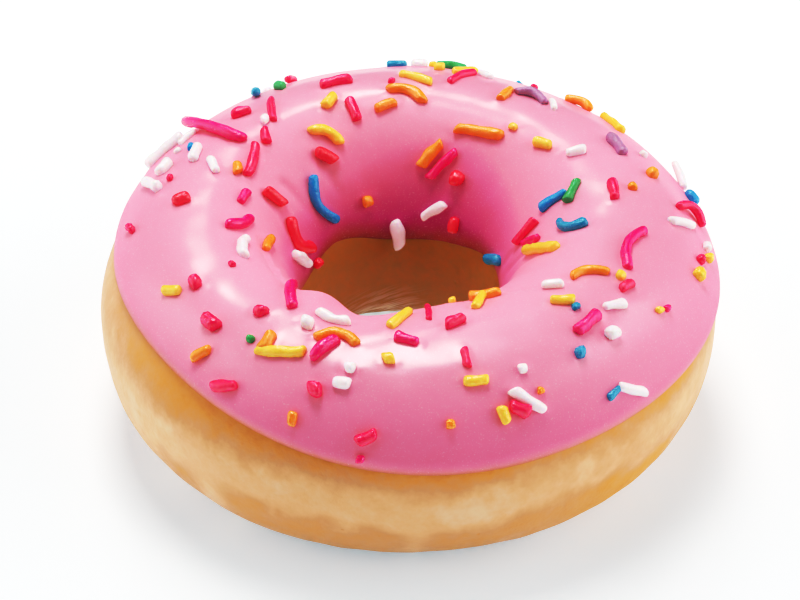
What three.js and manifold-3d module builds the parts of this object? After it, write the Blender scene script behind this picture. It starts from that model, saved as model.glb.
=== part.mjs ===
// A ring doughnut lying flat, with pink icing over its top and sugar strands scattered on the icing.
// Millimetres. The hole's axis is Z and the doughnut rests on Z = 0. Azimuths and slopes are in degrees.
import * as THREE from "three";
import { ParametricGeometry } from "three/addons/geometries/ParametricGeometry.js";
import { mergeVertices } from "three/addons/utils/BufferGeometryUtils.js";
import Module from "manifold-3d";

const wasm = await Module();
wasm.setup();
const DEG = Math.PI / 180;

// Dough: a ring about a middle circle. Its section is four quarters of superellipse, fuller at
// the outside than in the hole, and it has settled onto a flat ring of a base.
const MIDDLE_RADIUS = 29.4;
const OUTER_RADIUS = 44.6;
const HOLE_RADIUS = 13.9;
const DOUGH_HEIGHT = 32;
const BULGE_HEIGHT = 17.7; // where the outside is widest
const WAIST_HEIGHT = 7.6; // where the hole is narrowest
const FULLNESS = { outerTop: 2.08, outerFoot: 2.24, holeTop: 2.07, holeFoot: 2.47 };
const SETTLE = 1.06; // how far the round underside would reach below the floor
// Unevenness of the hand-made ring, each as rows of [waves a turn, cosine part, sine part].
const OUTER_WAVES = [[1, 0.4, -0.1], [3, 0, -0.33]];
const HOLE_WAVES = [[1, -0.9, 0], [2, 0.2, 0]];
const CREST_WAVES = [[1, 0.2, -0.1], [2, -0.55, -0.37]];
// Soft lumps on the rim of the hole: [azimuth, slope, spread of each, height].
const LUMPS = [[237, 115, 8, 25, 1], [255, 115, 8, 25, -1.3], [295, 115, 10, 25, 0.6]];
const RING_SLICES = 60; // flat facets in a turn, the same for the icing
const DOUGH_ROWS = 20;

// Icing: a skin that follows the dough, thickest on the crest and thin at both of its edges.
const ICING_SIDE = 1; // outer face above the dough on the sides
const ICING_CREST = 0.8; // and so much more on the crest
const ICING_CLEARANCE = 0.4; // inner face above the dough
const ICING_LIP = 0.15; // thickness at an edge
const EDGE_HEIGHT = 23.05; // of the outer edge above the floor
const EDGE_WAVES = [[1, -2.1, 0.6], [2, 0.6, 0.5], [3, -0.1, -0.3], [4, -0.5, 0]];
const HOLE_EDGE_SLOPE = 158;
const HOLE_EDGE_WAVES = [
  [1, -0.5, -0.3], [2, 0.4, -0.1], [4, 1.4, -0.2], [5, 0.8, 0.5], [6, -0.3, -0.3], [7, 0.7, 0.5],
];
const ICING_TOP_ROWS = 12;
const ICING_UNDER_ROWS = 11;
const EDGE_CROWDING = 0.08; // how much closer together the rows lie near the edges

// Sugar strands lying on the icing, by colour. Each is [azimuth and slope of its middle, heading,
// length, thickness, bow, arch, raise]: heading is 0 along the ring and 90 up the slope, bow bends it
// to the left, arch lifts its middle and raise its first end. A crumb is [azimuth, slope, thickness].
const STRANDS = {
  teal: [
    [126, 59, -115, 4.5, 1.4, 0, 0, 0.6], [92, 57, 0, 3, 1.3], [356, 107, 60, 5, 1.4, 1.8],
    [22, 151, 30, 4, 1.6], [314, 78, 1.2], [307, 57, 1.7], [310, 33, 15, 2.5, 1.1],
  ],
  green: [
    [121, 66, -80, 2, 1.6], [234, 68, 1.3], [80, 54, 15, 4.5, 1.3, 0, 0.3],
    [12, 105, -35, 4.5, 1.4],
  ],
  crimson: [
    [116, 53, -130, 3, 1.3, 0, 0, 0.3], [136, 75, -30, 3, 1.6], [130, 85, 55, 6, 1.2],
    [140, 98, 50, 3, 1.4], [166, 70, 1], [152, 102, 20, 6.5, 1.5, 0.5], [181, 54, 25, 2, 1.3],
    [208, 96, 1], [210, 76, 2.1], [223, 66, -5, 3, 2.1], [231, 83, 1.9], [234, 42, 25, 4, 1.6],
    [277, 104, 85, 5.5, 0.9], [283, 91, 20, 3, 1.7], [252, 53, 2.2], [283, 70, 90, 3, 1.2],
    [109, 81, 0, 5, 1.6], [108, 103, -85, 4, 1.6], [94, 86, 1], [76, 75, 65, 6, 1.3], [60, 58, 0.9],
    [5, 47, 85, 5, 1.3, -1.6, 0.6], [8, 88, -5, 4.5, 1.6], [9, 131, 90, 5, 1.4],
    [329, 71, -15, 2.5, 1.5], [291, 41, -35, 3, 2], [352, 43, 1.5], [263, 33, 30, 3, 1.7],
  ],
  white: [
    [135, 90, 1.5], [151, 47, -35, 7, 1.8], [148, 59, -10, 3.5, 1.1], [156, 76, 15, 4, 1.6],
    [154, 62, 0.9], [161, 63, -20, 3, 1.7], [167, 60, 45, 5, 1.7], [160, 89, 40, 3.5, 1.3],
    [198, 108, -20, 5.5, 1.6, -0.3], [166, 148, -55, 5, 1.7], [249, 95, -5, 5, 1.5, -0.4],
    [244, 86, 2], [258, 66, 1.7], [257, 58, 0, 2.5, 1.6], [95, 156, -80, 4.5, 2],
    [74, 146, 40, 4.5, 1.5], [87, 56, 0, 2.5, 1.6], [71, 66, -35, 3, 1.2], [50, 75, -45, 3, 1.1],
    [25, 59, 1.1], [21, 39, -175, 5, 1.2, 0, 0, 1.3], [0, 55, -65, 5, 1.3], [29, 93, 75, 3, 1.5],
    [316, 94, -40, 3, 1.4], [322, 68, -25, 3.5, 1.4], [316, 58, 2], [294, 59, 1.3],
    [293, 44, -45, 5.5, 1.6], [314, 30, -35, 5, 1.4], [358, 38, 1.5],
  ],
  pink: [
    [144, 70, 80, 13, 1.7, -0.8, 0, 1.2], [169, 109, -10, 3, 1.4], [182, 108, -45, 5.5, 1.6, 1.1],
    [230, 104, -50, 10.5, 1.6], [251, 74, 60, 4.5, 1.7, 0, 0.4], [270, 83, -25, 3.5, 1.6],
    [73, 128, 55, 6, 1.4], [359, 129, 60, 4, 1.2], [343, 75, 0, 10, 1.5, 1.9],
    [313, 68, 10, 5, 1.8], [332, 50, 1.1], [262, 22, 1.2],
  ],
  blue: [
    [153, 70, 25, 1.5, 1.1], [132, 136, -80, 8, 1.5, 2], [15, 36, 40, 2.5, 1.6],
    [13, 114, -90, 4.5, 1.4],
  ],
  orange: [
    [158, 100, 35, 2, 1.5], [186, 125, -20, 4.5, 1.4], [238, 70, 90, 3, 1.8], [226, 51, 50, 3, 1.6],
    [253, 79, 0, 6, 1.5, 1.7], [79, 125, 55, 5, 1.7], [111, 143, 1.8], [97, 103, 20, 3.5, 1.6],
    [90, 97, -25, 6, 1.6, -1.1], [62, 83, 90, 3.5, 1.4], [49, 55, -175, 4.5, 1.4, 0.4, 0.6, -0.2],
    [16, 64, 1.8], [9, 79, 1.4], [62, 110, 10, 7.5, 1.7], [326, 86, -40, 5.5, 1.4, 1.3],
    [296, 47, 1], [298, 110, -25, 4.5, 1.6], [249, 37, 90, 2, 1.3], [278, 39, 1.3],
  ],
  red: [
    [176, 81, -60, 2.5, 1.8], [158, 122, -75, 4, 1.6], [155, 141, -75, 6.5, 1.8, 2.2],
    [152, 156, 1.5], [60, 149, 85, 2.5, 1.5], [64, 132, 2.2], [125, 121, -45, 3.5, 1.7],
  ],
  yellow: [
    [208, 65, 40, 3, 1.6], [242, 67, 15, 7, 1.6], [268, 98, 60, 5, 1.5], [266, 72, 1.8],
    [284, 58, -5, 3.5, 1.5], [122, 113, -45, 5, 1.6, -1], [114, 95, 35, 3, 1.7],
    [87, 83, -25, 5.5, 1.4], [84, 56, 1.3], [82, 67, 1.6], [76, 66, 45, 4.5, 1.3],
    [40, 51, -20, 6.5, 1.4], [346, 121, 55, 9, 1.7, 0.6], [52, 101, 1.3], [39, 101, 25, 3, 1.6],
    [313, 84, -35, 3.5, 1.4], [331, 76, 1.5], [288, 40, -80, 2.5, 1.6], [330, 52, 1.1],
    [355, 37, 1.5], [347, 43, 1.8], [294, 104, -130, 4.5, 1.3, 0, 0, 0.4], [288, 118, 1.2],
  ],
  purple: [
    [56, 78, 5, 5, 1.4, -0.9, 0.6, -0.3], [28, 72, -5, 5, 1.7],
  ],
};
const STRAND_SIDES = 5;
const STRAND_SINK = 0.33; // share of its thickness that is sunk in the icing
const CAP = 0.2; // rounding of a strand's end as a share of its thickness
const CAP_RADIUS = 0.45; // radius where the rounding starts, as a share of its thickness
const CRUMB_LENGTH = 0.95; // of a crumb, as a share of its thickness
const SPAN = 3; // a strand has one more ring of corners for each of these in its length
const LEAST_CRUMB = 1.3; // thinner crumbs are left out

// Where the strands are only scattered: [azimuth from, to, slope from, to, how many].
const SCATTERED = [[50, 130, 26, 33, 8], [225, 315, 142, 150, 5]];
const SEED = 20240;
const SCATTER_CLEAR = 4; // least distance between two middles
const SCATTER_LONGEST = 6.5;
const SCATTER_SHORTEST = 2.2;
const SCATTER_THICKNESS = 1.5;

const wave = (angle, rows) =>
  rows.reduce((sum, [n, c, s]) => sum + c * Math.cos(n * angle) + s * Math.sin(n * angle), 0);

// Signed difference of two angles in degrees, from -180 to 180.
const turn = (from, to) => ((((to - from + 180) % 360) + 360) % 360) - 180;

// A point of the ring. Azimuth is about Z; slope is 0 at the outside, 90 on the crest, 180 in the
// hole and 270 underneath; swell is how far outside the dough it lies.
function ring(azimuth, slope, swell, target = new THREE.Vector3()) {
  const a = azimuth * DEG;
  const across = Math.cos(slope * DEG);
  const up = Math.sin(slope * DEG);
  const lump = (sum, [az, sl, spreadAz, spreadSl, height]) =>
    sum + height * Math.exp(-((turn(az, azimuth) / spreadAz) ** 2) - ((slope - sl) / spreadSl) ** 2);
  const out = LUMPS.reduce(lump, swell);
  const outer = across >= 0;
  const upper = up >= 0;
  const side = outer ? "outer" : "hole";
  const power = 2 / FULLNESS[side + (upper ? "Top" : "Foot")];
  const level = outer ? BULGE_HEIGHT : WAIST_HEIGHT;
  const reach = outer
    ? OUTER_RADIUS + wave(a, OUTER_WAVES) - MIDDLE_RADIUS
    : MIDDLE_RADIUS - HOLE_RADIUS - wave(a, HOLE_WAVES);
  const r = MIDDLE_RADIUS + Math.sign(across) * (reach + out) * Math.abs(across) ** power;
  const crest = DOUGH_HEIGHT + wave(a, CREST_WAVES) + out;
  const z = upper
    ? level + (crest - level) * up ** power
    : Math.max(level * (1 - SETTLE * Math.abs(up) ** power), 0);
  return target.set(r * Math.cos(a), r * Math.sin(a), z);
}

// A point of the icing's outer face, or above it.
function icing(azimuth, slope, lift = 0) {
  const crest = Math.max(Math.sin(slope * DEG), 0) ** 1.5;
  return ring(azimuth, slope, ICING_SIDE + ICING_CREST * crest + lift);
}

// The closed solid of a parametric surface whose seams and poles meet.
function solid(surface, slices, stacks) {
  const geometry = new ParametricGeometry(surface, slices, stacks);
  geometry.deleteAttribute("normal");
  geometry.deleteAttribute("uv");
  const merged = mergeVertices(geometry, 1e-4);
  const index = merged.index.array;
  const faces = [];
  for (let i = 0; i < index.length; i += 3) {
    const [a, b, c] = index.subarray(i, i + 3);
    if (a !== b && b !== c && c !== a) faces.push(a, b, c);
  }
  return new wasm.Manifold(
    new wasm.Mesh({
      numProp: 3,
      vertProperties: merged.attributes.position.array,
      triVerts: new Uint32Array(faces),
    }),
  );
}

// A named mesh of a solid, in its finish.
function mesh(name, made, finish) {
  const data = made.getMesh();
  const geometry = new THREE.BufferGeometry();
  geometry.setAttribute("position", new THREE.BufferAttribute(data.vertProperties, 3));
  geometry.setIndex(new THREE.BufferAttribute(data.triVerts, 1));
  geometry.computeVertexNormals();
  const named = new THREE.Mesh(geometry, new THREE.MeshStandardMaterial(finish));
  named.name = name;
  return named;
}

const dough = solid(
  (u, v, target) => ring(360 * (u % 1), 360 * (v % 1), 0, target),
  RING_SLICES,
  DOUGH_ROWS,
);

// The icing runs from its outer edge over the crest to its edge in the hole, and back underneath.
const ICING_ROWS = ICING_TOP_ROWS + ICING_UNDER_ROWS;
function skin(u, v, target) {
  const azimuth = 360 * (u % 1);
  const a = azimuth * DEG;
  const rise = EDGE_HEIGHT + wave(a, EDGE_WAVES) - BULGE_HEIGHT;
  const crest = DOUGH_HEIGHT + wave(a, CREST_WAVES) - BULGE_HEIGHT;
  const from = Math.asin((rise / crest) ** (FULLNESS.outerTop / 2)) / DEG;
  const to = HOLE_EDGE_SLOPE + wave(a, HOLE_EDGE_WAVES);
  const row = Math.round((v % 1) * ICING_ROWS);
  const top = row <= ICING_TOP_ROWS;
  const t = top ? row / ICING_TOP_ROWS : (ICING_ROWS - row) / ICING_UNDER_ROWS;
  const slope = from + (to - from) * (t - EDGE_CROWDING * Math.sin(2 * Math.PI * t));
  if (row === 0 || row === ICING_TOP_ROWS) {
    ring(azimuth, slope, ICING_CLEARANCE + ICING_LIP, target);
  } else if (top) {
    target.copy(icing(azimuth, slope));
  } else {
    ring(azimuth, slope, ICING_CLEARANCE, target);
  }
}

// The same row with the heading and length that a crumb leaves out.
const whole = (row) => (row.length === 3 ? [row[0], row[1], 0, 0, row[2]] : row);

// Azimuth and slope at share t of a strand's length.
function placeOnStrand(row, t) {
  const [azimuth, slope, heading, length] = whole(row);
  const middle = icing(azimuth, slope);
  const perAzimuth = icing(azimuth + 1, slope).distanceTo(middle);
  const perSlope = icing(azimuth, slope + 1).distanceTo(middle);
  const along = (t - 0.5) * length;
  return {
    azimuth: azimuth + (along * Math.cos(heading * DEG)) / perAzimuth,
    slope: slope + (along * Math.sin(heading * DEG)) / perSlope,
  };
}

// A point of a strand's middle line.
function alongStrand(row, t) {
  const [, , heading, , thickness, bow = 0, arch = 0, raise = 0] = whole(row);
  const { azimuth, slope } = placeOnStrand(row, t);
  const { east, north, out } = facing(azimuth, slope);
  const left = north.multiplyScalar(Math.cos(heading * DEG));
  left.addScaledVector(east, -Math.sin(heading * DEG));
  const hump = 4 * t * (1 - t);
  return icing(azimuth, slope, (0.5 - STRAND_SINK) * thickness)
    .addScaledVector(left, bow * hump)
    .addScaledVector(out, arch * hump + raise * (1 - t));
}

// The directions along the ring, up the slope and out of the icing at one place.
function facing(azimuth, slope) {
  const east = icing(azimuth + 1, slope).sub(icing(azimuth - 1, slope)).normalize();
  const over = icing(azimuth, slope + 1).sub(icing(azimuth, slope - 1));
  const out = east.clone().cross(over).normalize();
  return { east, north: out.clone().cross(east), out };
}

// A strand is a round rod with slightly domed ends. A crumb lies as it fell, along the ring.
function strand(row) {
  const [, , , length, thickness] = whole(row);
  const extra = Math.max(CRUMB_LENGTH * thickness - length, 0) / 2;
  const rings = 2 + Math.min(Math.floor(length / SPAN), 2);
  return solid((u, v, target) => {
    const k = Math.round(v * (rings + 1));
    const t = Math.min(Math.max((k - 1) / (rings - 1), 0), 1);
    const { azimuth, slope } = placeOnStrand(row, t);
    const { east, out } = facing(azimuth, slope);
    const step = alongStrand(row, Math.min(t + 0.1, 1)).sub(alongStrand(row, Math.max(t - 0.1, 0)));
    const run = length > 0 ? step.normalize() : east;
    const left = out.cross(run).normalize();
    const pole = k === 0 || k === rings + 1;
    const cap = k === 1 ? CAP * thickness : k === rings ? -CAP * thickness : 0;
    const radius = thickness * (pole ? 0 : cap ? CAP_RADIUS : 0.5);
    const around = 2 * Math.PI * (u % 1);
    target.copy(alongStrand(row, t)).addScaledVector(run, extra * (2 * t - 1) + cap);
    target.addScaledVector(left, radius * Math.cos(around));
    target.addScaledVector(run.clone().cross(left), radius * Math.sin(around));
  }, STRAND_SIDES, rings + 1);
}

// Strands scattered over the patches that are not laid out above: the longest first, each at least
// SCATTER_CLEAR from every other, at places drawn from a seeded sequence.
let state = SEED;
function draw() {
  state = (1664525 * state + 1013904223) % 4294967296;
  return state / 4294967296;
}

function scatter(laid) {
  const middles = laid.map((row) => icing(row[0], row[1]));
  const added = [];
  for (const [azFrom, azTo, slFrom, slTo, count] of SCATTERED) {
    let left = count;
    while (left > 0) {
      const azimuth = azFrom + (azTo - azFrom) * draw();
      const slope = slFrom + (slTo - slFrom) * draw();
      const heading = 360 * draw();
      const at = icing(azimuth, slope);
      if (middles.every((m) => m.distanceTo(at) > SCATTER_CLEAR)) {
        left -= 1;
        const length = SCATTER_SHORTEST + ((SCATTER_LONGEST - SCATTER_SHORTEST) * left) / count;
        added.push([azimuth, slope, heading, length, SCATTER_THICKNESS]);
        middles.push(at);
      }
    }
  }
  return added;
}

const laid = Object.values(STRANDS).flat();
const bulk = (row) => whole(row)[3] + whole(row)[4];
const shown = [...laid, ...scatter(laid)]
  .filter((row) => row.length > 3 || row[2] >= LEAST_CRUMB)
  .sort((a, b) => bulk(b) - bulk(a));
const iced = shown.reduce(
  (made, row) => made.add(strand(row)),
  solid(skin, RING_SLICES, ICING_ROWS),
);

const doughnut = new THREE.Group();
doughnut.name = "doughnut";
doughnut.add(
  mesh("dough", dough, { color: 0xc98a45, roughness: 0.6, metalness: 0 }),
  mesh("icing", iced, { color: 0xf09cbe, roughness: 0.3, metalness: 0 }),
);
export default doughnut;
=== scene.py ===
from itertools import cycle

import bpy
import numpy as np
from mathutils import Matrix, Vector


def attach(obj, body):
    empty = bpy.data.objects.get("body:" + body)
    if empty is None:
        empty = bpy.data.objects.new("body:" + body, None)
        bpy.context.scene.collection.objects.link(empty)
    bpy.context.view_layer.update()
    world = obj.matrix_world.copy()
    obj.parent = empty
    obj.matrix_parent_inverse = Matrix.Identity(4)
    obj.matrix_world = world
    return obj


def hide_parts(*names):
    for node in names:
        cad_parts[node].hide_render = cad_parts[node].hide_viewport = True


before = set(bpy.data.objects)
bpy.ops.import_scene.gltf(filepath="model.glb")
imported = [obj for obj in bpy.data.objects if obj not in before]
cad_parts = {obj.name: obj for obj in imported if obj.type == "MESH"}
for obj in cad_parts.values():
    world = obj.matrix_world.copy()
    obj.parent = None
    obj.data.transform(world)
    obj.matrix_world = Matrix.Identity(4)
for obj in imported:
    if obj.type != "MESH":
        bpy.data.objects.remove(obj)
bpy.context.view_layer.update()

# ---------------------------------------------------------------------------------------------
# Dough: a ring of yeast dough that floats in hot oil, first on one side and then on the other.
# The oil browns what is under it, so a pale belt is left round the middle, and the soft ring
# settles flat where it is laid down to cool.

MM = 0.001
MIDDLE_RADIUS = 29.4 * MM
OUTER_RADIUS = 44.6 * MM
HOLE_RADIUS = 13.9 * MM
DOUGH_HEIGHT = 32 * MM
BULGE_HEIGHT = 17.7 * MM  # where the outside is widest
WAIST_HEIGHT = 7.6 * MM  # where the hole is narrowest
OUTER_FULLNESS = 2.08, 2.24  # above and below the bulge; 2 is an ellipse, more is squarer
HOLE_FULLNESS = 2.07, 2.47  # above and below the waist
SETTLE = 1.06  # depth of the round underside before it settled, as a share of the waist's height
OUTER_WAVES = (1, 0.4, -0.1), (3, 0, -0.33)  # waves a turn, cosine part, sine part in mm
HOLE_WAVES = (1, -0.9, 0), (2, 0.2, 0)
CREST_WAVES = (1, 0.2, -0.1), (2, -0.55, -0.37)
# Soft lumps in the hole: azimuth, slope, spread of each in degrees, height in mm.
LUMPS = (
    (237, 115, 8, 25, 1.2),
    (253, 115, 11, 25, -0.9),
    (285, 115, 9, 25, 0.3),
    (97, 215, 12, 22, 0.4),
)
DOUGH_SLICES, DOUGH_ROWS = 480, 200
# Shade of the fried skin from 0, cream, to 1, dark brown.
SKIN_SHADES = {
    0: "f0d2b0",
    0.3: "eab68c",
    0.5: "d8a076",
    0.7: "e09c4c",
    0.85: "d68c3c",
    1: "c2924a",
}
CREASE_SHADE = "fff0e0"
CREASE_PAINTED_GLOW = "ffe8d4"  # a painted glow: the pale creases give off light of their own, so they stand out bright low in the dark hole
BELT_TOP = 16.8, 24.4  # height in mm above the table over which the pale belt turns brown again
BELT_FOOT = 10.4, 14.6
BELT_DIP = 275, 22, 2.2  # where the belt sags: azimuth, half width in degrees, depth in mm
BELT_SHADE, TOP_SHADE, FOOT_SHADE, HOLE_SHADE = 0.28, 0.76, 0.56, 0.97
PAINTED_SHEEN_SIDE = 190, 26, 0.3  # where the top is painted lighter, a painted sheen on the left side: azimuth, half width, change of shade
BROWN_SIDE = 322, 26, 0.13  # and where the belt is browner
CRUMPLE = 103, 22, 9  # creases low in the hole: azimuth, half width in degrees, height in mm
CREASE_TILT = 0.35  # radians from level
# Gaps in the brown of the foot, where the oil was kept off: azimuth, half width in degrees, and
# how pale the skin is there.
FOOT_GAPS = (
    (20, 5, 0.8), (95, 4, 0.8), (150, 6, 0.8), (211, 9, 0.8), (231, 4, 1), (271.5, 2.5, 0.7),
    (298, 8, 0.25), (330, 5, 0.6),
)
DENTS = (0.1, 1, 6), (0.035, 2, 22)  # depth in mm, seed, most waves round the section
DENT_SINK = 0.1  # mm that the dented skin lies lower in all


def wave(azimuth, rows):
    """Sum of cosine and sine waves round the ring, given in mm, in metres."""
    turns = np.radians(azimuth)
    return sum(c * np.cos(n * turns) + s * np.sin(n * turns) for n, c, s in rows) * MM


def turn(start, end):
    """Signed difference of two angles in degrees, from -180 to 180."""
    return (end - start + 180) % 360 - 180


def ring(azimuth, slope, swell):
    """Points of the ring, swell metres outside the dough. Azimuth is about Z; slope is 0 at the
    outside, 90 on the crest, 180 in the hole and 270 underneath. Each quarter of the section is
    a superellipse about the middle circle: reach * cos^(2/n) across and height * sin^(2/n) up.
    What would lie below the floor is pressed flat on it."""
    across, up = np.cos(np.radians(slope)), np.sin(np.radians(slope))
    out = swell + sum(
        height * MM * np.exp(-((turn(az, azimuth) / wide) ** 2) - ((slope - sl) / tall) ** 2)
        for az, sl, wide, tall, height in LUMPS
    )
    outer, upper = across >= 0, up >= 0
    fullness = np.where(outer, np.where(upper, *OUTER_FULLNESS), np.where(upper, *HOLE_FULLNESS))
    level = np.where(outer, BULGE_HEIGHT, WAIST_HEIGHT)
    reach = out + np.where(
        outer,
        OUTER_RADIUS + wave(azimuth, OUTER_WAVES) - MIDDLE_RADIUS,
        MIDDLE_RADIUS - HOLE_RADIUS - wave(azimuth, HOLE_WAVES),
    )
    radius = MIDDLE_RADIUS + np.sign(across) * reach * np.abs(across) ** (2 / fullness)
    crest = DOUGH_HEIGHT + wave(azimuth, CREST_WAVES) + out
    rise = np.abs(up) ** (2 / fullness)
    height = np.where(upper, level + (crest - level) * rise, level * (1 - SETTLE * rise))
    turns = np.radians(azimuth)
    return np.stack(
        [radius * np.cos(turns), radius * np.sin(turns), np.maximum(height, 0)], axis=-1
    )


def ripple(azimuth, slope, seed, finest, count=40):
    """Smooth unevenness that closes on itself, about -1 to 1: the sum of count cosines with whole
    numbers of waves, at most finest round the section and 2.3 times that round the ring."""
    random = np.random.default_rng(seed)
    total = 0
    for _ in range(count):
        round_ring = random.integers(0, int(2.3 * finest) + 1)
        round_section = random.integers(-finest, finest + 1)
        phase = random.uniform(0, 360)
        total = total + np.cos(np.radians(round_ring * azimuth + round_section * slope + phase))
    return total * (1.6 / count**0.5) / 2


def facing(points):
    """Outward unit normals of a grid of points that closes on itself both ways: the cross
    product of its steps round the ring and round the section."""
    along = np.roll(points, -1, axis=0) - np.roll(points, 1, axis=0)
    over = np.roll(points, -1, axis=1) - np.roll(points, 1, axis=1)
    normal = np.cross(along, over)
    return normal / np.maximum(np.linalg.norm(normal, axis=-1, keepdims=True), 1e-15)


def closed_grid(name, points, attributes):
    """An object whose quads join a grid of points that closes on itself both ways."""
    slices, rows = points.shape[:2]
    i, j = np.meshgrid(np.arange(slices), np.arange(rows), indexing="ij")
    i1, j1 = (i + 1) % slices, (j + 1) % rows
    corners = np.stack([i * rows + j, i1 * rows + j, i1 * rows + j1, i * rows + j1], axis=-1)
    return mesh_object(name, points.reshape(-1, 3), corners.reshape(-1, 4).tolist(), attributes)


def mesh_object(name, points, faces, attributes):
    """A smooth mesh object of points and faces, with a number for each point by name."""
    mesh = bpy.data.meshes.new(name)
    mesh.from_pydata(points.tolist(), [], faces)
    for label, numbers in attributes.items():
        layer = mesh.attributes.new(label, "FLOAT", "POINT")
        layer.data.foreach_set("value", np.ascontiguousarray(numbers, dtype=np.float32).ravel())
    mesh.shade_smooth()
    made = bpy.data.objects.new(name, mesh)
    bpy.context.collection.objects.link(made)
    return made


def colour(code):
    """A six-digit sRGB colour as a linear one for a socket."""
    parts = np.array([int(code[k : k + 2], 16) / 255 for k in (0, 2, 4)])
    linear = np.where(parts <= 0.04045, parts / 12.92, ((parts + 0.055) / 1.055) ** 2.4)
    return (*linear.tolist(), 1.0)


class Number:
    """A socket in a Python expression: each operator adds the Math node that works it out."""

    def __init__(self, finish, socket):
        self.finish, self.socket = finish, socket

    def maths(self, operation, first, second):
        """The result of a new Math node on two values."""
        node = self.finish.node("ShaderNodeMath", {"operation": operation}, {0: first, 1: second})
        return Number(self.finish, node.outputs[0])

    def __add__(self, other):
        return self.maths("ADD", self, other)

    def __sub__(self, other):
        return self.maths("SUBTRACT", self, other)

    def __rsub__(self, other):
        return self.maths("SUBTRACT", other, self)

    def __mul__(self, other):
        return self.maths("MULTIPLY", self, other)

    def __truediv__(self, other):
        return self.maths("DIVIDE", self, other)

    def between(self, low, high):
        """0 below low, 1 above high, and a smooth step from one to the other."""
        settings = {"interpolation_type": "SMOOTHSTEP"}
        node = self.finish.node("ShaderNodeMapRange", settings, {0: self, 1: low, 2: high})
        return Number(self.finish, node.outputs[0])

    __radd__ = __add__
    __rmul__ = __mul__


class Finish:
    """A material built up node by node round one Principled shader."""

    def __init__(self, name, constants):
        self.material = bpy.data.materials.new(name)
        self.material.use_nodes = True
        self.tree = self.material.node_tree
        self.shader = self.tree.nodes["Principled BSDF"]
        for label, value in constants.items():
            self.shader.inputs[label].default_value = value
        self.place = self.node("ShaderNodeTexCoord").outputs["Object"]

    def node(self, kind, settings=None, inputs=None):
        """A new node: its settings first, a ramp's stops among them, then values or links."""
        made = self.tree.nodes.new(kind)
        for label, value in (settings or {}).items():
            if label == "stops":
                ramp = made.color_ramp
                while len(ramp.elements) < len(value):
                    ramp.elements.new(1)
                for element, (at, shade) in zip(ramp.elements, sorted(value.items())):
                    element.position, element.color = at, colour(shade)
            else:
                setattr(made, label, value)
        for label, value in (inputs or {}).items():
            if isinstance(value, Number):
                value = value.socket
            if isinstance(value, bpy.types.NodeSocket):
                self.tree.links.new(value, made.inputs[label])
            else:
                made.inputs[label].default_value = value
        return made

    def streaks(self, size, longer, tilt):
        """Noise drawn out along X by longer times, after a turn by tilt radians about Y."""
        settings = {"vector_type": "TEXTURE"}
        inputs = {"Vector": self.place, "Rotation": (0, -tilt, 0), "Scale": (longer, longer, 1)}
        drawn = self.node("ShaderNodeMapping", settings, inputs).outputs[0]
        return self.noise(size, detail=2, place=drawn)

    def noise(self, size, detail=2.0, roughness=0.5, place=None):
        """Smooth noise from 0 to 1 with features about size metres across."""
        place = place or self.place
        inputs = {"Vector": place, "Scale": 1 / size, "Detail": detail, "Roughness": roughness}
        return Number(self, self.node("ShaderNodeTexNoise", {}, inputs).outputs[0])

    def dots(self, size):
        """Distance to the nearest of scattered points about size apart, 0 at a point."""
        inputs = {"Vector": self.place, "Scale": 1 / size}
        return Number(self, self.node("ShaderNodeTexVoronoi", {}, inputs).outputs["Distance"])

    def attribute(self, label):
        """A number that the mesh gives for each point."""
        node = self.node("ShaderNodeAttribute", {"attribute_name": label})
        return Number(self, node.outputs["Fac"])

    def height(self):
        """Metres above the table."""
        return Number(self, self.node("ShaderNodeSeparateXYZ", {}, {0: self.place}).outputs["Z"])

    def ramp(self, factor, stops):
        """The colour of a ramp through the stops, {place from 0 to 1: colour code}."""
        node = self.node("ShaderNodeValToRGB", {"stops": stops}, {0: factor})
        return node.outputs["Color"]

    def mix(self, factor, first, second):
        """Two colours mixed; either may be a colour code or a socket."""
        first = colour(first) if isinstance(first, str) else first
        second = colour(second) if isinstance(second, str) else second
        settings = {"data_type": "RGBA"}
        return self.node("ShaderNodeMix", settings, {0: factor, 6: first, 7: second}).outputs[2]

    def relief(self, height, depth):
        """A bump whose height runs from 0 to 1 for depth metres."""
        inputs = {"Height": height, "Distance": depth, "Strength": 1.0}
        self.connect("Normal", self.node("ShaderNodeBump", {}, inputs).outputs[0])

    def connect(self, label, value):
        """Links a number or a socket to the shader."""
        socket = value.socket if isinstance(value, Number) else value
        self.tree.links.new(socket, self.shader.inputs[label])


def hill(azimuth, at, half, most=1):
    """A value that is greatest at one azimuth and falls to 0 on both sides of it: most times e to
    the power of -(d / half)^2, where d is how many degrees azimuth lies from at."""
    return most * np.exp(-((turn(at, azimuth) / half) ** 2))


def crumple(azimuth, points):
    """How much the skin is drawn into pale creases: most at the foot of one side of the hole."""
    at, half, top = CRUMPLE
    low = np.clip(1 - points[..., 2] / (top * MM), 0, 1)
    inside = np.linalg.norm(points[..., :2], axis=-1) < MIDDLE_RADIUS
    return low * inside * hill(azimuth, at, half)


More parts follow.
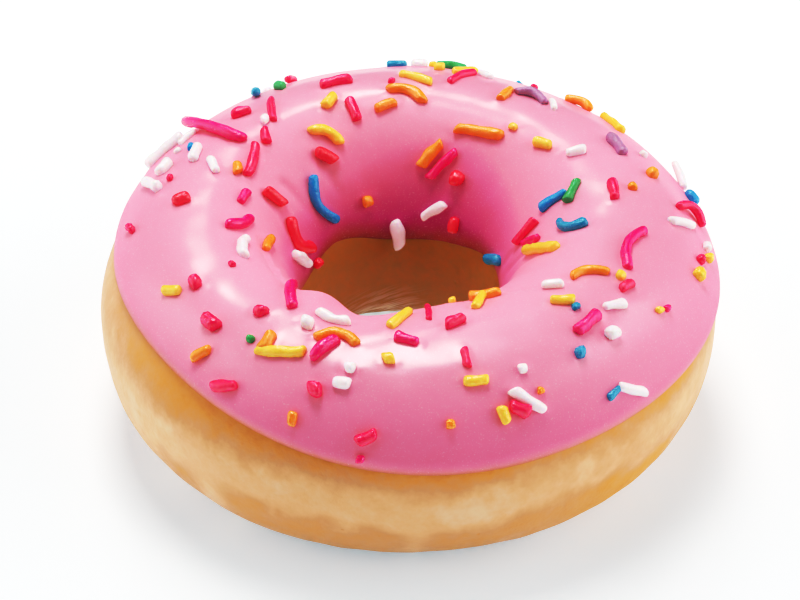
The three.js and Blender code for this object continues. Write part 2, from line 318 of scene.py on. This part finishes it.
azimuth, slope = np.meshgrid(
    np.arange(DOUGH_SLICES) * 360 / DOUGH_SLICES,
    np.arange(DOUGH_ROWS) * 360 / DOUGH_ROWS,
    indexing="ij",
)
dough_points = ring(azimuth, slope, 0)
dent = sum(depth * ripple(azimuth, slope, seed, finest) for depth, seed, finest in DENTS)
dent = np.where(dough_points[..., 2] < 0.5 * MM, 0, dent - DENT_SINK)  # the base stays flat
dough_points += facing(dough_points) * dent[..., None] * MM
in_hole = (1 - np.tanh((np.cos(np.radians(slope)) + 0.2) * 6)) / 2
dough = closed_grid(
    "dough_skin",
    dough_points,
    {
        "gap": sum(hill(azimuth, *gap) for gap in FOOT_GAPS).clip(0, 1),
        "sag": hill(azimuth, *BELT_DIP),
        "pale": hill(azimuth, *PAINTED_SHEEN_SIDE),
        "brown": hill(azimuth, *BROWN_SIDE),
        "hole": in_hole,
        "crumple": crumple(azimuth, dough_points),
    },
)

skin = Finish(
    "fried dough",
    {
        "Subsurface Weight": 0.12,
        "Subsurface Scale": 0.002,
        "Specular IOR Level": 0.3,
        "Coat Weight": 0.06,
        "Coat Roughness": 0.3,
        # The emission is a painted glow in the pale creases.
        "Emission Strength": 0.25,
    },
)
skin.shader.inputs["Subsurface Radius"].default_value = (1.0, 0.5, 0.25)
height = skin.height() / MM + skin.attribute("sag") + 3 * (skin.noise(14 * MM, detail=2) - 0.5)
drift = skin.noise(7 * MM, detail=3) - 0.5
blotch = skin.noise(2.6 * MM, detail=4, roughness=0.6) - 0.5
top = (height + 2 * blotch + 3 * drift).between(*BELT_TOP)
foot = 1 - (height + 3 * blotch + 8 * drift).between(*BELT_FOOT)
foot = foot * (1 - skin.attribute("gap") * (0.9 + 1.2 * blotch))
foot = foot * (0.75 + 0.25 * height.between(1, 5))
milky = skin.noise(8 * MM, detail=3, roughness=0.6).between(0.5, 0.7)
outside = BELT_SHADE + (TOP_SHADE - BELT_SHADE) * top + (FOOT_SHADE - BELT_SHADE) * foot
outside = outside + (skin.attribute("brown") - 0.13 * milky) * (1 - top)
# Painted sheen: the top of the skin is lighter on the left side.
outside = outside - skin.attribute("pale") * top
shade = outside + (HOLE_SHADE - outside) * skin.attribute("hole")
pit = 1 - skin.dots(2.6 * MM).between(0.05, 0.14)
pit = pit * skin.noise(3 * MM).between(0.5, 0.6) * foot
grain = skin.noise(0.7 * MM, detail=3)
shade = shade + 0.2 * blotch + 0.08 * (grain - 0.5) + 0.25 * pit
crease = skin.streaks(0.35 * MM, 14, CREASE_TILT).between(0.44, 0.6) * skin.attribute("crumple")
skin.connect("Base Color", skin.mix(crease, skin.ramp(shade, SKIN_SHADES), CREASE_SHADE))
# A painted glow in the creases: they give off light of their own.
skin.connect("Emission Color", skin.mix(crease * crease, "000000", CREASE_PAINTED_GLOW))
skin.connect("Roughness", 0.5 + 0.2 * blotch)
skin.relief(grain * 0.5 + 1.5 * blotch - 0.7 * pit, 0.09 * MM)
dough.data.materials.append(skin.material)
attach(dough, "root")
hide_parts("dough")

# ---------------------------------------------------------------------------------------------
# Icing: sugar icing, dyed pink and still runny when the ring is dipped in it upside down. Turned
# back, it levels to a smooth skin, thick on the crest, that thins to a soft edge half way down
# the outside and low in the hole, and it sets with a gloss.

ICING_SIDE = 1.0 * MM  # outer face above the dough on the sides
ICING_CREST = 0.8 * MM  # and so much more on the crest
EDGE_HEIGHT = 23.05 * MM  # of the outer edge above the floor
EDGE_WAVES = (1, -2.1, 0.6), (2, 0.6, 0.5), (3, -0.1, -0.3), (4, -0.5, 0)
HOLE_EDGE_SLOPE = 158
HOLE_EDGE_WAVES = (  # in degrees of slope
    (1, -0.5, -0.3), (2, 0.4, -0.1), (4, 1.4, -0.2), (5, 0.8, 0.5), (6, -0.3, -0.3), (7, 0.7, 0.5),
)
ICING_SLICES, ICING_TOP_ROWS, ICING_UNDER_ROWS = 600, 132, 30
SLOPE_BREADTH = 0.3 * MM  # breadth of a degree of slope
UNEVENNESS = (0.1, 5, 5), (0.03, 6, 16)  # height in mm, seed, most waves round the section
LIP = 3 * MM  # breadth over which the icing thins down to its edge
ROOT = 0.12 * MM  # how far it soaks into the dough
# The dye's colour from where the icing lies thick and level, 0, to where it is thin and steep, 1.
ICING_SHADES = {0: "f99db3", 0.25: "f896ae", 0.55: "f58ea8", 0.8: "ee809c"}
PAINTED_HOLE_SHADE = "cc2290"  # painted shade low in the hole, darkest on the far wall, which faces away from the lamps
DEEP_FROM, DEEP_TO = 133, 156  # slope where that begins and where it is full
DEEP_EARLY = 68, 36, 18  # where it begins sooner: azimuth, half width, degrees of slope
DEEP_FRONT = 0.4  # share of that painted shade in the front wall of the hole
EDGE_SHADES = {0: "d08064", 0.3: "e08a8c", 1: "ee92aa"}  # through the thin edge, from without
EDGE_BREADTH = 2.8  # mm
HOLE_EDGE_PAINTED_SHADE = "b83a3c"  # of the thin edge low in the hole, a darker copy of the edge colours under the painted shade there
GLOSS_FROM, GLOSS_LATER = 44, 14  # slope where the gloss begins, and how much later behind
GLOSS_TO, GLOSS_SOONER = 103, 13  # slope where it ends, and how much sooner in front
GLOSS_RISE, GLOSS_FALL = 16, 10  # degrees of slope that it takes to begin and to end
SPECK_SHADE = "fff0f4"  # of fine undissolved sugar
# Where it set duller: azimuth and half width in degrees, and the share of the gloss that is lost.
DULL_PATCHES = (160, 42, 0.75), (25, 17, 0.8)
# Folds where the setting skin wrinkled: azimuth and slope of both ends, half width, height in mm
# at the first end, and the share of it that is left at the second.
FOLDS = (
    (186, 121, 208, 119.5, 0.6, -0.26, 1),
    (208, 119.5, 224, 114.5, 0.6, -0.26, 0.3),
    (182, 124.5, 206, 124, 0.6, 0.24, 1),
    (206, 124, 221, 119.5, 0.6, 0.24, 0.3),
    (161, 119, 163, 136, 0.8, -0.34, 0.5),
    (149, 121, 145, 137, 0.9, -0.34, 0.4),
    (128.5, 121, 125, 137, 1.0, -0.34, 0.3),
    (8, 136, 11, 148, 0.6, -0.3, 0.5),
    (356.5, 130, 1, 146, 0.6, -0.3, 0.5),
    (341, 119, 349, 142, 0.6, -0.26, 0.4),
    (303.5, 109, 309.5, 102, 0.4, -0.16, 1),
    (309.5, 102, 317, 96.5, 0.4, -0.16, 0.2),
    (245, 113, 238, 97, 1.6, -0.25, 0.2),
    (262, 112, 258, 96, 1.5, -0.2, 0.2),
)


def icing(azimuth, slope, lift=0):
    """Points of the icing's outer face: the ring swollen most where it faces up."""
    crest = np.maximum(np.sin(np.radians(slope)), 0) ** 1.5
    return ring(azimuth, slope, ICING_SIDE + ICING_CREST * crest + lift)


def edge_slope(azimuth):
    """Slope at which the outside of the dough reaches the height of the icing's outer edge."""
    rise = EDGE_HEIGHT + wave(azimuth, EDGE_WAVES) - BULGE_HEIGHT
    crest = DOUGH_HEIGHT + wave(azimuth, CREST_WAVES) - BULGE_HEIGHT
    return np.degrees(np.arcsin((rise / crest) ** (OUTER_FULLNESS[0] / 2)))


def segment_distance(points, start, end):
    """Distance of each point from the straight line between start and end, and how far along
    that line its nearest point lies, from 0 to 1."""
    along = end - start
    share = np.clip((points - start) @ along / max(along @ along, 1e-18), 0, 1)
    return np.linalg.norm(points - start - share[..., None] * along, axis=-1), share


turns = np.arange(ICING_SLICES) * 360 / ICING_SLICES
first = edge_slope(turns)
last = HOLE_EDGE_SLOPE + wave(turns, HOLE_EDGE_WAVES) / MM
row = np.arange(ICING_TOP_ROWS + ICING_UNDER_ROWS)
on_top = row <= ICING_TOP_ROWS
share = np.where(on_top, row / ICING_TOP_ROWS, (row[-1] + 1 - row) / ICING_UNDER_ROWS)
share = share - 0.1 * np.sin(2 * np.pi * share)  # closer together near the edges
azimuth = np.broadcast_to(turns[:, None], (ICING_SLICES, len(row)))
slope = first[:, None] + (last - first)[:, None] * share
inward = np.minimum(slope - first[:, None], last[:, None] - slope) * SLOPE_BREADTH
full = ICING_SIDE + ICING_CREST * np.sin(np.radians(slope)).clip(0) ** 1.5
unevenness = sum(height * ripple(azimuth, slope, seed, finest) for height, seed, finest in UNEVENNESS)
rounding = 1 - (1 - np.clip(inward / LIP, 0, 1)) ** 2.5
thick = (full + unevenness * MM + ROOT) * rounding - ROOT
icing_points = ring(azimuth, slope, np.where(on_top, thick, -ROOT))
for az1, sl1, az2, sl2, half, height, left in FOLDS:
    ends = icing(np.array([az1, az2]), np.array([sl1, sl2]))
    away, share = segment_distance(icing_points, ends[0], ends[1])
    fold = np.exp(-((away / (half * MM)) ** 2)) * (1 - (1 - left) * share)
    lift = height * MM * fold * rounding * on_top
    icing_points += facing(icing_points) * lift[..., None]
steep = np.clip(1 - np.sin(np.radians(slope)), 0, 1)
# Painted shade low in the hole: it begins sooner on the far wall and is weaker in front.
start = DEEP_FROM - hill(azimuth, *DEEP_EARLY)
deep = np.clip((slope - start) / (DEEP_TO - start), 0, 1)
behind = np.clip(1.5 * np.sin(np.radians(azimuth - 5)), 0, 1)
deep *= DEEP_FRONT + (1 - DEEP_FRONT) * behind
start = GLOSS_FROM + GLOSS_LATER * np.clip(np.sin(np.radians(azimuth)), 0, 1)
end = GLOSS_TO + GLOSS_SOONER * np.clip(np.sin(np.radians(azimuth)), -1, 0)
gloss = np.clip((slope - start) / GLOSS_RISE, 0, 1) * np.clip((end - slope) / GLOSS_FALL, 0, 1)
for patch in DULL_PATCHES:
    gloss *= 1 - hill(azimuth, *patch)
icing_coat = closed_grid(
    "icing_coat",
    icing_points,
    {"inward": inward / MM, "steep": steep, "deep": deep, "gloss": gloss},
)

glaze = Finish(
    "pink icing",
    {
        "Subsurface Weight": 0.25,
        "Subsurface Scale": 0.0015,
        "Specular IOR Level": 0.35,
        "Coat Roughness": 0.2,
    },
)
glaze.shader.inputs["Subsurface Radius"].default_value = (1.0, 0.45, 0.55)
inward_mm = glaze.attribute("inward") + 0.7 * (glaze.noise(1.8 * MM, detail=3) - 0.5)
cloud = glaze.noise(9 * MM, detail=3)
depth = glaze.attribute("steep") + 0.08 * (cloud - 0.5)
pink = glaze.ramp(depth, ICING_SHADES)
# Painted shade low in the hole.
pink = glaze.mix(glaze.attribute("deep"), pink, PAINTED_HOLE_SHADE)
through = glaze.ramp(inward_mm / EDGE_BREADTH, EDGE_SHADES)
# The thin edge takes the painted shade low in the hole too.
through = glaze.mix(glaze.attribute("deep"), through, HOLE_EDGE_PAINTED_SHADE)
pink = glaze.mix(inward_mm.between(0.2, EDGE_BREADTH), through, pink)
fine = glaze.noise(0.22 * MM, detail=2).between(0.56, 0.78)
glaze.connect("Base Color", glaze.mix(0.2 * fine, pink, SPECK_SHADE))
gloss = glaze.attribute("gloss")
glaze.connect("Coat Weight", 0.06 + 0.85 * gloss)
speck = 1 - glaze.dots(0.9 * MM).between(0.04, 0.16)
few = glaze.noise(4 * MM).between(0.52, 0.66)
glaze.connect("Roughness", 0.62 + 0.12 * glaze.noise(1.5 * MM, detail=3) - 0.34 * gloss)
glaze.relief(glaze.noise(2.2 * MM, detail=2) + 0.6 * speck * few, 0.04 * MM)
icing_coat.data.materials.append(glaze.material)
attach(icing_coat, "root")
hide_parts("icing")

# ---------------------------------------------------------------------------------------------
# Sugar strands: thin rods of coloured sugar paste, pressed through a plate and broken up, so they
# differ in length, bend and how their ends broke. They are shaken over the wet icing, sink in a
# little, and the icing climbs at their sides before it sets.

# By colour, each [azimuth and slope of its middle, heading, length, thickness, bow, arch, raise]
# in degrees and mm: heading is 0 along the ring and 90 up the slope, bow bends it to the left,
# arch lifts its middle and raise its first end. A crumb is [azimuth, slope, thickness].
STRANDS = {
    "teal": [
        [126, 59, -115, 4.5, 1.4, 0, 0, 0.6], [92, 57, 0, 3, 1.3], [356, 107, 60, 5, 1.4, 1.8],
        [22, 151, 30, 4, 1.6], [314, 78, 1.2], [307, 57, 1.7], [310, 33, 15, 2.5, 1.1],
    ],
    "green": [
        [121, 66, -80, 2, 1.6], [234, 68, 1.3], [80, 54, 15, 4.5, 1.3, 0, 0.3],
        [12, 105, -35, 4.5, 1.4],
    ],
    "crimson": [
        [116, 53, -130, 3, 1.3, 0, 0, 0.3], [136, 75, -30, 3, 1.6], [130, 85, 55, 6, 1.2],
        [140, 98, 50, 3, 1.4], [166, 70, 1], [152, 102, 20, 6.5, 1.5, 0.5], [181, 54, 25, 2, 1.3],
        [208, 96, 1], [210, 76, 2.1], [223, 66, -5, 3, 2.1], [231, 83, 1.9], [234, 42, 25, 4, 1.6],
        [277, 104, 85, 5.5, 0.9], [283, 91, 20, 3, 1.7], [252, 53, 2.2], [283, 70, 90, 3, 1.2],
        [109, 81, 0, 5, 1.6], [108, 103, -85, 4, 1.6], [94, 86, 1], [76, 75, 65, 6, 1.3], [60, 58, 0.9],
        [5, 47, 85, 5, 1.3, -1.6, 0.6], [8, 88, -5, 4.5, 1.6], [9, 131, 90, 5, 1.4],
        [329, 71, -15, 2.5, 1.5], [291, 41, -35, 3, 2], [352, 43, 1.5], [263, 33, 30, 3, 1.7],
    ],
    "white": [
        [135, 90, 1.5], [151, 47, -35, 7, 1.8], [148, 59, -10, 3.5, 1.1], [156, 76, 15, 4, 1.6],
        [154, 62, 0.9], [161, 63, -20, 3, 1.7], [167, 60, 45, 5, 1.7], [160, 89, 40, 3.5, 1.3],
        [198, 108, -20, 5.5, 1.6, -0.3], [166, 148, -55, 5, 1.7], [249, 95, -5, 5, 1.5, -0.4],
        [244, 86, 2], [258, 66, 1.7], [257, 58, 0, 2.5, 1.6], [95, 156, -80, 4.5, 2],
        [74, 146, 40, 4.5, 1.5], [87, 56, 0, 2.5, 1.6], [71, 66, -35, 3, 1.2], [50, 75, -45, 3, 1.1],
        [25, 59, 1.1], [21, 39, -175, 5, 1.2, 0, 0, 1.3], [0, 55, -65, 5, 1.3], [29, 93, 75, 3, 1.5],
        [316, 94, -40, 3, 1.4], [322, 68, -25, 3.5, 1.4], [316, 58, 2], [294, 59, 1.3],
        [293, 44, -45, 5.5, 1.6], [314, 30, -35, 5, 1.4], [358, 38, 1.5],
    ],
    "pink": [
        [144, 70, 80, 13, 1.7, -0.8, 0, 1.2], [169, 109, -10, 3, 1.4], [182, 108, -45, 5.5, 1.6, 1.1],
        [230, 104, -50, 10.5, 1.6], [251, 74, 60, 4.5, 1.7, 0, 0.4], [270, 83, -25, 3.5, 1.6],
        [73, 128, 55, 6, 1.4], [359, 129, 60, 4, 1.2], [343, 75, 0, 10, 1.5, 1.9],
        [313, 68, 10, 5, 1.8], [332, 50, 1.1], [262, 22, 1.2],
    ],
    "blue": [
        [153, 70, 25, 1.5, 1.1], [132, 136, -80, 8, 1.5, 2], [15, 36, 40, 2.5, 1.6],
        [13, 114, -90, 4.5, 1.4],
    ],
    "orange": [
        [158, 100, 35, 2, 1.5], [186, 125, -20, 4.5, 1.4], [238, 70, 90, 3, 1.8], [226, 51, 50, 3, 1.6],
        [253, 79, 0, 6, 1.5, 1.7], [79, 125, 55, 5, 1.7], [111, 143, 1.8], [97, 103, 20, 3.5, 1.6],
        [90, 97, -25, 6, 1.6, -1.1], [62, 83, 90, 3.5, 1.4], [49, 55, -175, 4.5, 1.4, 0.4, 0.6, -0.2],
        [16, 64, 1.8], [9, 79, 1.4], [62, 110, 10, 7.5, 1.7], [326, 86, -40, 5.5, 1.4, 1.3],
        [296, 47, 1], [298, 110, -25, 4.5, 1.6], [249, 37, 90, 2, 1.3], [278, 39, 1.3],
    ],
    "red": [
        [176, 81, -60, 2.5, 1.8], [158, 122, -75, 4, 1.6], [155, 141, -75, 6.5, 1.8, 2.2],
        [152, 156, 1.5], [60, 149, 85, 2.5, 1.5], [64, 132, 2.2], [125, 121, -45, 3.5, 1.7],
    ],
    "yellow": [
        [208, 65, 40, 3, 1.6], [242, 67, 15, 7, 1.6], [268, 98, 60, 5, 1.5], [266, 72, 1.8],
        [284, 58, -5, 3.5, 1.5], [122, 113, -45, 5, 1.6, -1], [114, 95, 35, 3, 1.7],
        [87, 83, -25, 5.5, 1.4], [84, 56, 1.3], [82, 67, 1.6], [76, 66, 45, 4.5, 1.3],
        [40, 51, -20, 6.5, 1.4], [346, 121, 55, 9, 1.7, 0.6], [52, 101, 1.3], [39, 101, 25, 3, 1.6],
        [313, 84, -35, 3.5, 1.4], [331, 76, 1.5], [288, 40, -80, 2.5, 1.6], [330, 52, 1.1],
        [355, 37, 1.5], [347, 43, 1.8], [294, 104, -130, 4.5, 1.3, 0, 0, 0.4], [288, 118, 1.2],
    ],
    "purple": [
        [56, 78, 5, 5, 1.4, -0.9, 0.6, -0.3], [28, 72, -5, 5, 1.7],
    ],
}
# Where they are only scattered: azimuth from, to, slope from, to, how many.
SCATTERED = (50, 130, 26, 33, 8), (225, 315, 142, 150, 5)
SEED = 20240
SCATTER_CLEAR = 4 * MM  # least distance between two middles
SCATTER_LONGEST, SCATTER_SHORTEST, SCATTER_THICKNESS = 6.5, 2.2, 1.5
STRAND_SINK = 0.24  # share of its thickness that is sunk in the icing
CRUMB_LENGTH = 0.95  # of a crumb, as a share of its thickness
CAP = 0.32  # rounding of a broken end as a share of the thickness
SIDES, CAP_RINGS, BODY_RINGS = 10, 3, 7
# Waves that swell and pinch a rod: how many go round it, and their height as a share of its radius.
SWELLS = (0, 0.05), (0, 0.04), (1, 0.06), (2, 0.06), (3, 0.03), (4, 0.015)
SUGAR_SHADES = {  # the shade of each colour, and the paler one that it drifts to
    "teal": ("0091b6", "04a4c4"),
    "green": ("30a25e", "48b868"),
    "crimson": ("ff0463", "ff2474"),
    "white": ("f9e8ec", "ffffff"),
    "pink": ("fc0479", "ff2488"),
    "blue": ("0095ce", "08a2da"),
    "orange": ("ff941e", "ffac44"),
    "red": ("ff184c", "ff3c58"),
    "yellow": ("ffc848", "ffdc70"),
    "purple": ("b07a9e", "bc8cb0"),
}
# The colours of the scattered strands, in turn.
SCATTER_SHADES = (
    "crimson", "white", "yellow", "orange", "pink", "teal", "white", "crimson", "green", "orange",
)
GRAINY = "teal", "purple", "blue", "green"  # colours whose paste came out rougher
GRAIN, ROUGHER_GRAIN = 0.13 * MM, 0.2 * MM  # depth of the grain
CLIMB = 0.07 * MM  # of the icing at a strand's sides
CLIMB_REACH = 0.3 * MM


def draws(state):
    """Seeded numbers from 0 to 1, one after another: each state is the last one times a fixed
    number and plus another, and what is left of that over 2^32."""
    while True:
        state = (1664525 * state + 1013904223) % 2**32
        yield state / 2**32


def scatter(laid):
    """Rows for strands in the patches that are only scattered: the longest first, at drawn
    places, each clear of all others."""
    middles = [icing(row[0], row[1]) for row in laid]
    number = draws(SEED)
    added = []
    for az_from, az_to, sl_from, sl_to, count in SCATTERED:
        left = count
        while left > 0:
            azimuth = az_from + (az_to - az_from) * next(number)
            slope = sl_from + (sl_to - sl_from) * next(number)
            heading = 360 * next(number)
            at = icing(azimuth, slope)
            if all(np.linalg.norm(middle - at) > SCATTER_CLEAR for middle in middles):
                left -= 1
                length = SCATTER_SHORTEST + (SCATTER_LONGEST - SCATTER_SHORTEST) * left / count
                added.append([azimuth, slope, heading, length, SCATTER_THICKNESS])
                middles.append(at)
    return added


def whole(row):
    """A strand's eight numbers, with those that its row leaves out."""
    row = [row[0], row[1], 0, 0, row[2]] if len(row) == 3 else row
    return [*row, 0, 0, 0][:8]


def unit(vectors):
    """Each vector divided by its length."""
    return vectors / np.maximum(np.linalg.norm(vectors, axis=-1, keepdims=True), 1e-15)


def rods(rows, random):
    """Points of the rods as [strand, ring, side] with the two poles of each, and the ends of its
    middle line. That line runs over the icing through the strand's place; rings stand across it,
    with a radius that swells and pinches by seeded waves along and round it, thins toward one end
    and rounds off at both as a power of the sine of a quarter turn, and each end is cut at a slant."""
    numbers = np.array([whole(row) for row in rows], dtype=float)
    az, sl, heading, length, thickness, bow, arch, rise = (column[:, None] for column in numbers.T)
    thickness, bow, arch, rise = (value * MM for value in (thickness, bow, arch, rise))
    length = np.maximum(length * MM, CRUMB_LENGTH * thickness)
    across, up = np.cos(np.radians(heading)), np.sin(np.radians(heading))
    middle = icing(az, sl)
    per_azimuth = np.linalg.norm(icing(az + 1, sl) - middle, axis=-1)
    per_slope = np.linalg.norm(icing(az, sl + 1) - middle, axis=-1)

    def line(t):
        """Points of the middle line and the way out of the icing there, t from 0 to 1."""
        along = (t - 0.5) * length
        azimuth, slope = az + along * across / per_azimuth, sl + along * up / per_slope
        east = unit(icing(azimuth + 1, slope) - icing(azimuth - 1, slope))
        out = unit(np.cross(east, icing(azimuth, slope + 1) - icing(azimuth, slope - 1)))
        left = np.cross(out, east) * across[..., None] - east * up[..., None]
        hump = 4 * t * (1 - t)
        at = icing(azimuth, slope, (0.5 - STRAND_SINK) * thickness)
        at = at + left * (bow * hump)[..., None] + out * (arch * hump + rise * (1 - t))[..., None]
        return at, out

    quarter = np.linspace(0, np.pi / 2, CAP_RINGS + 1)[1:]
    inset = CAP * thickness * (1 - np.cos(quarter)) / length
    body = np.linspace(0, 1, BODY_RINGS + 2)[1:-1]
    body = inset[:, -1:] + body * (1 - 2 * inset[:, -1:])
    t = np.concatenate([inset, body, 1 - inset[:, ::-1]], axis=1)
    round_off = np.concatenate([np.sin(quarter), np.ones(BODY_RINGS), np.sin(quarter[::-1])])
    round_off = round_off ** random.uniform(0.3, 0.8, (len(rows), 1))
    at, out = line(t)
    run = unit(line(np.minimum(t + 0.05, 1))[0] - line(np.maximum(t - 0.05, 0))[0])
    left = unit(np.cross(out, run))
    over = np.cross(run, left)
    around = np.arange(SIDES) * 2 * np.pi / SIDES
    count = len(rows)
    lumps = np.zeros((count, len(t[0]), SIDES))
    for folds, strength in SWELLS:
        waves = random.uniform(0.1, 0.4, (count, 1, 1)) * (length / MM * t)[..., None]
        phase = random.uniform(0, 2 * np.pi, (count, 1, 1))
        lumps += strength * np.cos(2 * np.pi * waves + folds * around + phase)
    taper = random.uniform(-0.1, 0.1, (count, 1)) * (2 * t - 1)
    radius = (thickness / 2 * round_off * (1 + taper))[..., None] * (1 + lumps)
    slant = random.uniform(-0.5, 0.5, (count, 2, 1, 1)) * np.array([1, -1])[:, None, None]
    from_ends = np.stack([t, 1 - t], axis=1) * (length / thickness)[..., None]
    near_end = np.clip(1 - from_ends / 1.2, 0, 1)
    shear = (slant * near_end[..., None]).sum(axis=1) * np.cos(around) * radius
    points = at[:, :, None] + left[:, :, None] * (radius * np.cos(around))[..., None]
    points += over[:, :, None] * (radius * np.sin(around))[..., None]
    points += run[:, :, None] * shear[..., None]
    ends = np.zeros((count, 2))
    ends[:, 1] = 1
    return points, line(ends)[0], line(ends + np.array([0, -0.5]))[0][:, 1]


def strand_piece(name, rows, random):
    """One object for all strands of a colour: quads join each rod's rings, triangles its poles."""
    points, poles, middles = rods(rows, random)
    count, rings, sides = points.shape[:3]
    rod, k, m = np.meshgrid(np.arange(count), np.arange(rings - 1), np.arange(sides), indexing="ij")
    base, m1 = (rod * rings + k) * sides, (m + 1) % sides
    quads = np.stack([base + m, base + m1, base + sides + m1, base + sides + m], axis=-1)
    rod, m = np.meshgrid(np.arange(count), np.arange(sides), indexing="ij")
    base, m1, pole = rod * rings * sides, (m + 1) % sides, count * rings * sides + 2 * rod
    far = base + (rings - 1) * sides
    near_cap = np.stack([base + m1, base + m, pole], axis=-1)
    far_cap = np.stack([far + m, far + m1, pole + 1], axis=-1)
    caps = np.concatenate([near_cap, far_cap])
    faces = quads.reshape(-1, 4).tolist() + caps.reshape(-1, 3).tolist()
    tone = random.uniform(0, 1, count)
    tones = np.concatenate([np.repeat(tone, rings * sides), np.repeat(tone, 2)])
    vertices = np.concatenate([points.reshape(-1, 3), poles.reshape(-1, 3)])
    made = mesh_object(name, vertices, faces, {"tone": tones})
    radius = np.array([whole(row)[4] for row in rows]) * MM / 2
    return made, zip(poles[:, 0], middles, poles[:, 1], radius)


def climb(points, normals, start, middle, end, radius):
    """Raises the icing's points along its normals where they lie close beside a strand: by CLIMB
    times e to the power of -(d / CLIMB_REACH)^2, where d is the distance from the strand's side."""
    reach = np.linalg.norm(end - start) / 2 + radius + 4 * CLIMB_REACH
    near = np.linalg.norm(points - middle, axis=-1) < reach
    close = points[near]
    first_half = segment_distance(close, start, middle)[0]
    away = np.minimum(first_half, segment_distance(close, middle, end)[0])
    rise = CLIMB * np.exp(-((np.maximum(away - radius, 0) / CLIMB_REACH) ** 2))
    points[near] = close + normals[near] * rise[:, None]


random = np.random.default_rng(SEED)
scattered = scatter([row for rows in STRANDS.values() for row in rows])
icing_normals = facing(icing_points) * on_top[None, :, None]
icing_flat = icing_points.reshape(-1, 3)
for name, shades in SUGAR_SHADES.items():
    shared = zip(scattered, cycle(SCATTER_SHADES))
    rows = STRANDS[name] + [row for row, scatter_shade in shared if scatter_shade == name]
    strands, lines = strand_piece(f"strands_{name}", rows, random)
    for start, middle, end, radius in lines:
        climb(icing_flat, icing_normals.reshape(-1, 3), start, middle, end, radius)
    sugar = Finish(
        f"{name} sugar",
        {
            "Subsurface Weight": 0.6,
            "Subsurface Scale": 0.0008,
            "Specular IOR Level": 1.0,
            "Emission Strength": 0.08,  # a painted glow: the strands give off light of their own, to look brighter and see-through
        },
    )
    tone = sugar.attribute("tone") * 0.5 + sugar.noise(0.8 * MM) * 0.5
    dyed = sugar.mix(tone * 0.35, *shades)
    sugar.connect("Base Color", dyed)
    # The dye is also a painted glow, so the strands light themselves.
    sugar.connect("Emission Color", dyed)
    sugar.connect("Roughness", 0.1 + 0.25 * sugar.noise(0.6 * MM, detail=3))
    grain = sugar.noise(0.42 * MM, detail=3, roughness=0.6)
    sugar.relief(grain, ROUGHER_GRAIN if name in GRAINY else GRAIN)
    strands.data.materials.append(sugar.material)
    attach(strands, "root")
    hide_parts("icing")
icing_coat.data.vertices.foreach_set("co", icing_flat.astype(np.float32).ravel())
icing_coat.data.update()

# ---------------------------------------------------------------------------------------------
# Studio: a white table top under a softbox almost overhead and a long one low behind, whose light
# slides over the crest, with a large dim panel at each side. The side toward the camera is darker.

TABLE_HALF = 1.5
ROOM = 0.12  # brightness of the room all round
# Softboxes by name: azimuth and height in degrees, distance, width, depth and brightness.
SOFTBOXES = {
    "overhead": (106, 74, 0.9, 0.32, 0.4, 11.6),
    "behind": (98, 45, 1.1, 0.26, 0.14, 16.0),
    "left": (176, 24, 1.2, 1.4, 1.2, 1.6),
    "right": (-4, 24, 1.2, 1.4, 1.2, 2.2),
}

table_mesh = bpy.data.meshes.new("table_top")
side = [-TABLE_HALF, TABLE_HALF]
table_mesh.from_pydata(
    [(side[0], side[0], 0), (side[1], side[0], 0), (side[1], side[1], 0), (side[0], side[1], 0)],
    [],
    [(0, 1, 2, 3)],
)
table_top = bpy.data.objects.new("table_top", table_mesh)
bpy.context.collection.objects.link(table_top)
paper = Finish(
    "white table",
    {
        "Roughness": 0.8,
        "Base Color": (0.96, 0.915, 0.865, 1),
        "Emission Color": (0.43, 0.78, 1, 1),
        "Emission Strength": 0.34,
    },
)
table_mesh.materials.append(paper.material)

world = bpy.data.worlds.new("white room")
world.use_nodes = True
world.node_tree.nodes["Background"].inputs["Color"].default_value = (1, 1, 1, 1)
world.node_tree.nodes["Background"].inputs["Strength"].default_value = ROOM
bpy.context.scene.world = world


def aimed(thing, place, target):
    """Puts a light or a camera at place and turns its -Z at target, with +Y up."""
    made = bpy.data.objects.new(thing.name, thing)
    made.location = place
    made.rotation_euler = (Vector(target) - Vector(place)).to_track_quat("-Z", "Y").to_euler()
    bpy.context.collection.objects.link(made)
    return made


for name, (azimuth, height, distance, width, depth, brightness) in SOFTBOXES.items():
    softbox = bpy.data.lights.new(f"softbox_{name}", "AREA")
    softbox.shape = "RECTANGLE"
    softbox.size, softbox.size_y = width, depth
    softbox.energy = brightness * np.pi * width * depth
    away, level = np.radians(azimuth), np.radians(height)
    toward = Vector((np.cos(away) * np.cos(level), np.sin(away) * np.cos(level), np.sin(level)))
    aimed(softbox, toward * distance, (0, 0, 0.02))

# ---------------------------------------------------------------------------------------------
# Camera: a long lens looks down on the doughnut from half a metre away.

VIEW_HEIGHT = 37.8  # degrees above the table
VIEW_DISTANCE = 0.5
VIEW_TARGET = (-0.86 * MM, 0, 16.8 * MM)
view = bpy.data.cameras.new("view")
view.sensor_width = 36
view.lens = 154.5
lift = np.radians(VIEW_HEIGHT)
camera = aimed(
    view,
    (VIEW_TARGET[0], -VIEW_DISTANCE * np.cos(lift), VIEW_TARGET[2] + VIEW_DISTANCE * np.sin(lift)),
    VIEW_TARGET,
)
bpy.context.scene.camera = camera

# Developed like a studio print: full contrast in the middle tones and a soft shoulder, given as
# brightness in the scene and in the picture.
WHITE = 1.3  # brightness that comes out white
TONES = {0: 0, 0.1: 0.045, 0.2: 0.12, 0.3: 0.27, 0.45: 0.48, 0.6: 0.66, 1.0: 0.9, WHITE: 1}
picture = bpy.context.scene.view_settings
picture.view_transform = "Standard"
picture.use_curve_mapping = True
picture.curve_mapping.white_level = (WHITE, WHITE, WHITE)
tones = picture.curve_mapping.curves[3]
while len(tones.points) < len(TONES):
    tones.points.new(0.5, 0.5)
for point, (bright, printed) in zip(tones.points, TONES.items()):
    point.location = bright / WHITE, printed
picture.curve_mapping.update()
